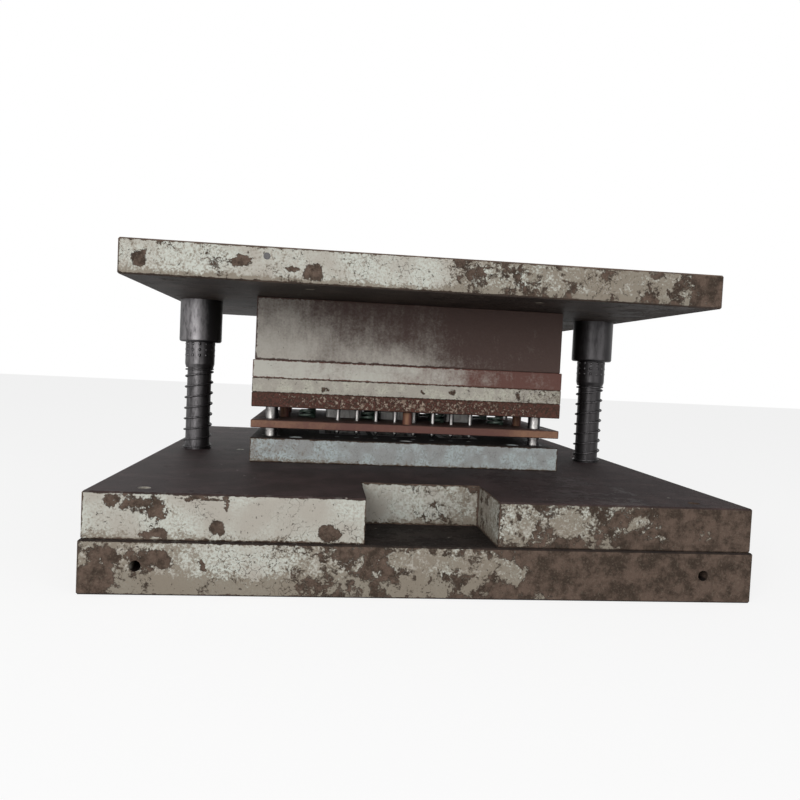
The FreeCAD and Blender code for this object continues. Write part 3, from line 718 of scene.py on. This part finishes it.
class DressUpperPlate(bpy.types.Operator):
    """Chipped paint on the upper plate, with painted shade on its underside"""

    bl_idname = "die_set.dress_upper_plate"
    bl_label = "Upper Plate"

    def execute(self, context):
        look = context.scene.die_set_plates
        coat = Coat(look.paint, look.old_paint, look.stain, look.brown, look.dark_brown)
        spots = front_spots("upper_plate", [
            (-0.295, 0.314, 0.012, 0.014, 0.30),
            (-0.194, 0.318, 0.014, 0.009, 0.40),
            (-0.122, 0.310, 0.014, 0.009, 0.55),
            (-0.146, 0.312, 0.009, 0.004, 0.50),
            (0.185, 0.313, 0.040, 0.012, -0.20),
        ])
        # The flaked and stained curves darken the plate towards +X, partly real wear and partly painted
        # shade; its underside takes painted shade.
        dress("upper_plate", painted_material(
            "upper_plate", coat, look,
            flaked=[(-0.315, 0.30), (-0.20, 0.26), (-0.12, 0.22), (-0.09, 0.12), (0.0, 0.12),
                    (0.03, 0.42), (0.12, 0.46), (0.18, 0.34), (0.25, 0.46), (0.315, 0.75)],
            stained=[(-0.315, 0.38), (-0.10, 0.30), (0.0, 0.18), (0.03, 0.62), (0.15, 0.66),
                     (0.315, 0.75)],
            spots=spots, top=look.brown, bottom=look.underside, cracks=0.8, low_dirt=0.5,
        ))
        return {"FINISHED"}


class DressStack(bpy.types.Operator):
    """Stained, rusty and coated finishes of the plates between shoe and upper plate"""

    bl_idname = "die_set.dress_stack"
    bl_label = "Stacked Plates"

    def execute(self, context):
        look = context.scene.die_set_plates
        # The stained curve darkens the riser towards +X, partly real rust and partly painted shade; its
        # bottom takes the underside's painted shade.
        dress("riser_block", stained_material(
            "riser_block", look.bare_steel, look.red_brown, look.dark_brown, look,
            stained=[(-0.193, 0.25), (-0.15, 0.30), (-0.10, 0.55), (-0.04, 0.60), (0.02, 0.68),
                     (0.08, 0.95), (0.193, 1.1)],
            # Painted shade along the top of the riser under the upper plate, and painted light on two
            # patches low on its left half.
            spots=front_spots("riser_block", [
                (-0.10, 0.300, 0.40, 0.055, 0.30),
                (-0.13, 0.222, 0.09, 0.035, -0.20),
                (-0.03, 0.222, 0.08, 0.025, -0.30),
            ]),
            mottle=0.12, bottom=look.underside,
        ))
        # The stained curve darkens the spacer plate towards +X, partly real rust and partly painted shade.
        dress("spacer_plate", stained_material(
            "spacer_plate", look.old_green, look.rust, look.dark_brown, look,
            stained=[(-0.195, 0.02), (-0.06, 0.12), (0.0, 0.35), (0.05, 0.55), (0.09, 0.90), (0.195, 1.0)],
            mottle=0.35, edge=0.7,
        ))
        backing = Coat(look.cream, look.old_paint, look.stain, look.brown, look.dark_brown)
        dress("backing_plate", painted_material(
            "backing_plate", backing, look,
            flaked=[(-0.195, 0.15), (0.0, 0.16), (0.195, 0.28)],
            stained=[(-0.195, 0.20), (0.05, 0.16), (0.12, 0.34), (0.195, 0.50)],
            spots=front_spots("backing_plate", [
                (-0.106, 0.186, 0.004, 0.004, 0.6),
                (0.017, 0.187, 0.005, 0.003, 0.6),
                (0.055, 0.189, 0.008, 0.004, 0.6),
                (0.140, 0.190, 0.004, 0.005, 0.6),
            ]),
            patch=0.22, cracks=0.3, edge=0.5,
        ))
        scale = Coat(look.tan, look.tan_dark, look.rust, look.rust, look.dark_brown)
        # The punch plate's bottom, over the gap above the stripper, takes painted shade.
        dress("punch_plate", painted_material(
            "punch_plate", scale, look,
            flaked=[(-0.195, 0.85), (-0.13, 0.62), (0.0, 0.55), (0.14, 0.62), (0.195, 0.85)],
            stained=[(-0.195, 0.60), (0.0, 0.35), (0.195, 0.60)],
            patch=0.17, edge=1.3, bottom=look.gap_shade,
        ))
        # The stripper's bottom, over the gap above the die plate, takes painted shade.
        dress("stripper_plate", stained_material(
            "stripper_plate", look.orange, look.rust, look.dark_brown, look,
            stained=[(-0.195, 0.55), (-0.12, 0.75), (0.0, 1.0), (0.12, 0.95), (0.15, 0.35), (0.195, 0.25)],
            mottle=0.35, edge=0.5, top=look.red_brown, bottom=look.gap_shade,
        ))
        die_coat = Coat(look.cool_paint, look.cool_old_paint, look.stain, look.brown, look.dark_brown)
        # The die plate's top, in the gap under the stripper, takes painted shade.
        dress("die_plate", painted_material(
            "die_plate", die_coat, look,
            flaked=[(-0.195, 0.14), (-0.10, 0.12), (0.0, 0.06), (0.195, 0.05)],
            stained=[(-0.195, 0.38), (-0.12, 0.30), (-0.05, 0.15), (0.195, 0.10)],
            patch=0.35, cracks=0.5, low_dirt=0.35, edge=0.8, top=look.gap_shade,
        ))
        return {"FINISHED"}


# --- guides, tools and fasteners --------------------------------------------------------
# clean_side and clean set where and how strongly the worn colour is painted on as a highlight.
def steel_material(name, dark, worn, clean_side=(-0.35, -1, 0), **more):
    """Oiled round or ground steel, with a painted highlight on the side that faces clean_side, front left
    by default.
    """
    made, tree, shader, position, outward = new_material(
        name, specular=more.get("specular", 0.4), metallic=more.get("metallic", 0.6)
    )
    steel = tree.group(
        shared_group(turned_steel_group),
        position=position,
        outward=outward,
        clean_side=Vector(clean_side).normalized(),
        dark=dark,
        worn=worn,
        clean=more.get("clean", 1.0),
    )
    finish_material(tree, shader, steel["Color"], steel["Roughness"], steel["Height"], STEEL_RELIEF)
    return made


class DressGuides(bpy.types.Operator):
    """Oiled steel on the posts, bushes and ball cages"""

    bl_idname = "die_set.dress_guides"
    bl_label = "Guide Posts and Cages"

    def execute(self, context):
        look = context.scene.die_set_steel
        # Painted highlight: these shares set how much each part gets, and the left guide gets five times
        # as much as the right one, as if lit from the left.
        highlight_shares = {"guide_bush_": 1.0, "guide_post_": 0.45, "ball_cage_": 0.55}
        for side, highlit in (("left", 1.0), ("right", 0.2)):
            for node, clean in highlight_shares.items():
                dress(node + side, steel_material(
                    node + side + "_finish", look.dark, look.worn, clean=clean * highlit
                ))
            dress("cage_balls_" + side, steel_material("balls_" + side, look.dark, look.worn))
        return {"FINISHED"}


class DressTools(bpy.types.Operator):
    """Ground steel on the punches, inserts, pins and bushes of the stripper and die"""

    bl_idname = "die_set.dress_tools"
    bl_label = "Punches, Inserts and Pins"

    def execute(self, context):
        look = context.scene.die_set_steel
        tool = steel_material("tool_steel", look.tool_dark, look.tool, metallic=0.2)
        # Painted highlight: pins, bushes, punches and inserts take the lighter colour on the side facing
        # front left and the darker one elsewhere.
        bright = steel_material("bright_steel", look.dark, look.bright, metallic=0.9)
        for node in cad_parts:
            if node.startswith(("punch_", "die_insert_")) and node != "punch_plate":
                dress(node, tool)
        for node in ("sub_guide_pins", "pilot_pins", "die_guide_bushes", "stripper_bushes"):
            dress(node, bright)
        return {"FINISHED"}


class DressFasteners(bpy.types.Operator):
    """Blackened screws, ground dowels and the rusty shoulder bolts of the stripper"""

    bl_idname = "die_set.dress_fasteners"
    bl_label = "Screws, Bolts and Dowels"

    def execute(self, context):
        look = context.scene.die_set_steel
        plates = context.scene.die_set_plates
        # Painted highlight: each of these finishes is lighter on the side facing front left.
        black = steel_material("blackened_steel", look.black, look.dark, metallic=0.0)
        ground = steel_material("ground_dowels", look.tool_dark, look.worn)
        rusty = steel_material("rusty_bolts", plates.rust, plates.orange, metallic=0.0, specular=0.1)
        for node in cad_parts:
            if node.endswith("_screws") or node == "upper_plate_plug":
                dress(node, black)
            if node.endswith("_dowels"):
                dress(node, ground)
        dress("stripper_bolts", rusty)
        return {"FINISHED"}


# --- springs ----------------------------------------------------------------------------
def coil_climb(turn, turns, rise, closed_pitch, closing):
    """Rise of the wire's middle after so many turns, with one closed turn at each end."""
    extra_pitch = (rise - closed_pitch * turns) / (turns - 2)
    from_end = min(turn, turns - turn)
    past = from_end - 1
    if past < -closing:
        open_turns = 0.0
    elif past < closing:
        open_turns = (past + closing) ** 2 / (4 * closing)
    else:
        open_turns = past
    climb = closed_pitch * from_end + extra_pitch * open_turns
    return climb if turn < turns / 2 else rise - climb


def add_coil(mesh, middle, radius, bottom, top, turns, outline, wire_height, closing):
    """Adds a coil spring to a bmesh: an outline of (outward, up) points swept round a middle."""
    first = bottom + wire_height / 2
    rise = top - wire_height / 2 - first
    steps = round(turns * STEPS_PER_TURN)
    rings = []
    for i in range(steps + 1):
        turn = turns * i / steps
        angle = 2 * math.pi * turn
        outward = Vector((math.cos(angle), math.sin(angle), 0))
        height = first + coil_climb(turn, turns, rise, wire_height, closing)
        base = Vector((middle[0], middle[1], height))
        rings.append([
            mesh.verts.new(base + outward * (radius + out) + Vector((0, 0, up))) for out, up in outline
        ])
    count = len(outline)
    for lower, upper in zip(rings, rings[1:]):
        for i in range(count):
            j = (i + 1) % count
            mesh.faces.new((lower[i], upper[i], upper[j], lower[j]))
    mesh.faces.new(rings[0])
    mesh.faces.new(rings[-1][::-1])


def finish_mesh(mesh, name, material):
    """Piece made of a bmesh, with smooth faces."""
    bmesh.ops.recalc_face_normals(mesh, faces=mesh.faces)
    data = bpy.data.meshes.new(name)
    mesh.to_mesh(data)
    mesh.free()
    data.shade_smooth()
    data.materials.append(material)
    piece = bpy.data.objects.new(name, data)
    bpy.context.scene.collection.objects.link(piece)
    return piece


def round_outline(radius, count=14):
    turns = [2 * math.pi * i / count for i in range(count)]
    return [(radius * math.cos(a), radius * math.sin(a)) for a in turns]


def soft_box_outline(width, height, corner, count=4):
    """Rectangle with rounded corners, as (outward, up) points."""
    points = []
    for quarter, (sx, sy) in enumerate(((1, 1), (-1, 1), (-1, -1), (1, -1))):
        for i in range(count + 1):
            angle = math.pi / 2 * (quarter + i / count)
            points.append((
                sx * (width / 2 - corner) + corner * math.cos(angle),
                sy * (height / 2 - corner) + corner * math.sin(angle),
            ))
    return points


class MakeCageSprings(bpy.types.Operator):
    """Long coil springs round the posts, under the cages"""

    bl_idname = "die_set.make_cage_springs"
    bl_label = "Cage Springs"

    def execute(self, context):
        look = context.scene.die_set_springs
        steel = context.scene.die_set_steel
        wire = look.cage_wire
        for side in ("left", "right"):
            node = "cage_spring_" + side
            low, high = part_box(node)
            middle = (low + high) / 2
            radius = (high.x - low.x) / 2 - wire / 2
            mesh = bmesh.new()
            add_coil(
                mesh, middle, radius, low.z, high.z, look.cage_turns,
                round_outline(wire / 2), wire, look.closing,
            )
            # Half the painted highlight goes on the wire's front-left side.
            material = steel_material(node + "_wire", steel.dark, steel.worn, clean=0.5)
            piece = finish_mesh(mesh, "coil_" + side, material)
            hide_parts(node)
            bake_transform(piece)
        return {"FINISHED"}


class MakeDieSprings(bpy.types.Operator):
    """Flat-wire springs that press the stripper down"""

    bl_idname = "die_set.make_die_springs"
    bl_label = "Stripper Springs"

    def execute(self, context):
        look = context.scene.die_set_springs
        steel = context.scene.die_set_steel
        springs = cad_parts["die_springs"]
        low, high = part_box("die_springs")
        spots = spring_middles(springs)
        wire = (SPRING_OUTER - look.die_inner) / 2
        outline = soft_box_outline(wire, look.die_wire, WIRE_CORNER)
        mesh = bmesh.new()
        for middle in spots:
            add_coil(
                mesh, middle, SPRING_OUTER / 2 - wire / 2, low.z, high.z, look.die_turns,
                outline, look.die_wire, look.closing,
            )
        # Painted highlight: the enamel is paler on the side facing front left.
        material = steel_material("spring_enamel", steel.enamel, steel.enamel_highlight, metallic=0.0)
        piece = finish_mesh(mesh, "enamelled_springs", material)
        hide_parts("die_springs")
        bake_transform(piece)
        return {"FINISHED"}


def spring_middles(springs):
    """Middles of the springs, found from the groups of points that lie within one spring's width."""
    middles = []
    for vertex in springs.data.vertices:
        point = Vector((vertex.co.x, vertex.co.y))
        for group in middles:
            if (group["seed"] - point).length < 1.5 * SPRING_OUTER:
                group["low"] = Vector(map(min, group["low"], point))
                group["high"] = Vector(map(max, group["high"], point))
                break
        else:
            middles.append({"seed": point, "low": point, "high": point})
    return [(group["low"] + group["high"]) / 2 for group in middles]


# --- stage ------------------------------------------------------------------------------
def add_light(name, place, power):
    """Soft round light that is aimed at the middle of the part."""
    data = bpy.data.lights.new(name, "AREA")
    data.shape = "DISK"
    data.size = LIGHT_SIZE
    data.energy = power
    light = bpy.data.objects.new(name, data)
    light.location = place
    light.rotation_euler = (Vector(LIGHT_AIM) - Vector(place)).to_track_quat("-Z", "Y").to_euler()
    bpy.context.scene.collection.objects.link(light)


class MakeStage(bpy.types.Operator):
    """Pale floor, soft light and the camera"""

    bl_idname = "die_set.make_stage"
    bl_label = "Stage"

    def execute(self, context):
        look = context.scene.die_set_stage
        make_floor(look)
        make_sky(look)
        add_light("key_light", KEY_PLACE, look.key_power)
        add_light("fill_light", FILL_PLACE, look.fill_power)
        make_camera(look)
        context.scene.view_settings.view_transform = "Standard"
        return {"FINISHED"}


def seen_directly(tree):
    """1 for rays from the camera or a mirror or glass, 0 for rays that light the part."""
    path = tree.node("ShaderNodeLightPath").outputs
    seen = tree.math("MAXIMUM", path["Is Camera Ray"], path["Is Glossy Ray"])
    return tree.math("MAXIMUM", seen, path["Is Transmission Ray"])


def make_floor(look):
    mesh = bmesh.new()
    bmesh.ops.create_grid(mesh, x_segments=1, y_segments=1, size=FLOOR_HALF)
    made, tree, shader = new_material("floor_finish", specular=0.0)[:3]
    shader.inputs["Base Color"].default_value = (look.floor, look.floor, look.floor, 1)
    shader.inputs["Roughness"].default_value = 1.0
    glow = tree.node("ShaderNodeEmission", {"Color": (1, 1, 1), "Strength": FLOOR_GLOW})
    seen = seen_directly(tree)
    both = tree.node("ShaderNodeMixShader", {0: tree.math("MULTIPLY", seen, FLOOR_GLOW_SHARE)})
    tree.feed(both.inputs[1], shader.outputs[0])
    tree.feed(both.inputs[2], glow.outputs[0])
    output = next(node for node in made.node_tree.nodes if node.type == "OUTPUT_MATERIAL")
    tree.feed(output.inputs["Surface"], both.outputs[0])
    floor = finish_mesh(mesh, "floor", made)
    floor.location.z = cad_low.z - FLOOR_DROP


def make_sky(look):
    world = bpy.data.worlds.new("studio")
    bpy.context.scene.world = world
    world.use_nodes = True
    world.node_tree.nodes.clear()
    tree = Tree(world.node_tree)
    seen = seen_directly(tree)
    strength = tree.blend_values(seen, look.sky, 1.0)
    sky = tree.node("ShaderNodeBackground", {"Color": (1, 1, 1), "Strength": strength})
    output = tree.node("ShaderNodeOutputWorld")
    tree.feed(output.inputs["Surface"], sky.outputs[0])


def make_camera(look):
    """Camera a little left of the middle, turned right, tipped down and leaning."""
    yaw, pitch, roll = CAMERA_YAW, CAMERA_PITCH, CAMERA_ROLL
    forward = Vector((math.sin(yaw) * math.cos(pitch), math.cos(yaw) * math.cos(pitch), math.sin(pitch)))
    level = Vector((math.cos(yaw), -math.sin(yaw), 0))
    above = level.cross(forward)
    right = math.cos(roll) * level + math.sin(roll) * above
    up = math.cos(roll) * above - math.sin(roll) * level
    data = bpy.data.cameras.new("camera")
    data.lens = look.lens
    data.sensor_width = SENSOR_WIDTH
    camera = bpy.data.objects.new("camera", data)
    turn = Matrix((right, up, -forward)).transposed()
    camera.matrix_world = Matrix.Translation(CAMERA_PLACE) @ turn.to_4x4()
    bpy.context.scene.collection.objects.link(camera)
    bpy.context.scene.camera = camera


# --- panel and registration -------------------------------------------------------------
GROUPS = {
    "die_set_plates": PlateLook,
    "die_set_steel": SteelLook,
    "die_set_springs": SpringLook,
    "die_set_stage": StageLook,
}
OPERATORS = (
    DressLowerPlates,
    DressUpperPlate,
    DressStack,
    DressGuides,
    DressTools,
    DressFasteners,
    MakeCageSprings,
    MakeDieSprings,
    MakeStage,
)


class DIE_SET_PT_looks(bpy.types.Panel):
    """Lists what dresses and builds the die set"""

    bl_label = "Press Die Set"
    bl_idname = "DIE_SET_PT_looks"
    bl_space_type = "VIEW_3D"
    bl_region_type = "UI"
    bl_category = "Die Set"

    def draw(self, context):
        for operator in OPERATORS:
            self.layout.operator(operator.bl_idname)
        for name in GROUPS:
            settings = getattr(context.scene, name)
            box = self.layout.box()
            for field in settings.__annotations__:
                box.prop(settings, field)


def register():
    for name, group in GROUPS.items():
        bpy.utils.register_class(group)
        setattr(bpy.types.Scene, name, bpy.props.PointerProperty(type=group))
    for made in (*OPERATORS, DIE_SET_PT_looks):
        bpy.utils.register_class(made)


def unregister():
    for made in reversed((*OPERATORS, DIE_SET_PT_looks)):
        bpy.utils.unregister_class(made)
    for name, group in GROUPS.items():
        delattr(bpy.types.Scene, name)
        bpy.utils.unregister_class(group)


def main():
    register()
    for operator in OPERATORS:
        family, name = operator.bl_idname.split(".")
        getattr(getattr(bpy.ops, family), name)()


if __name__ == "__main__":
    main()
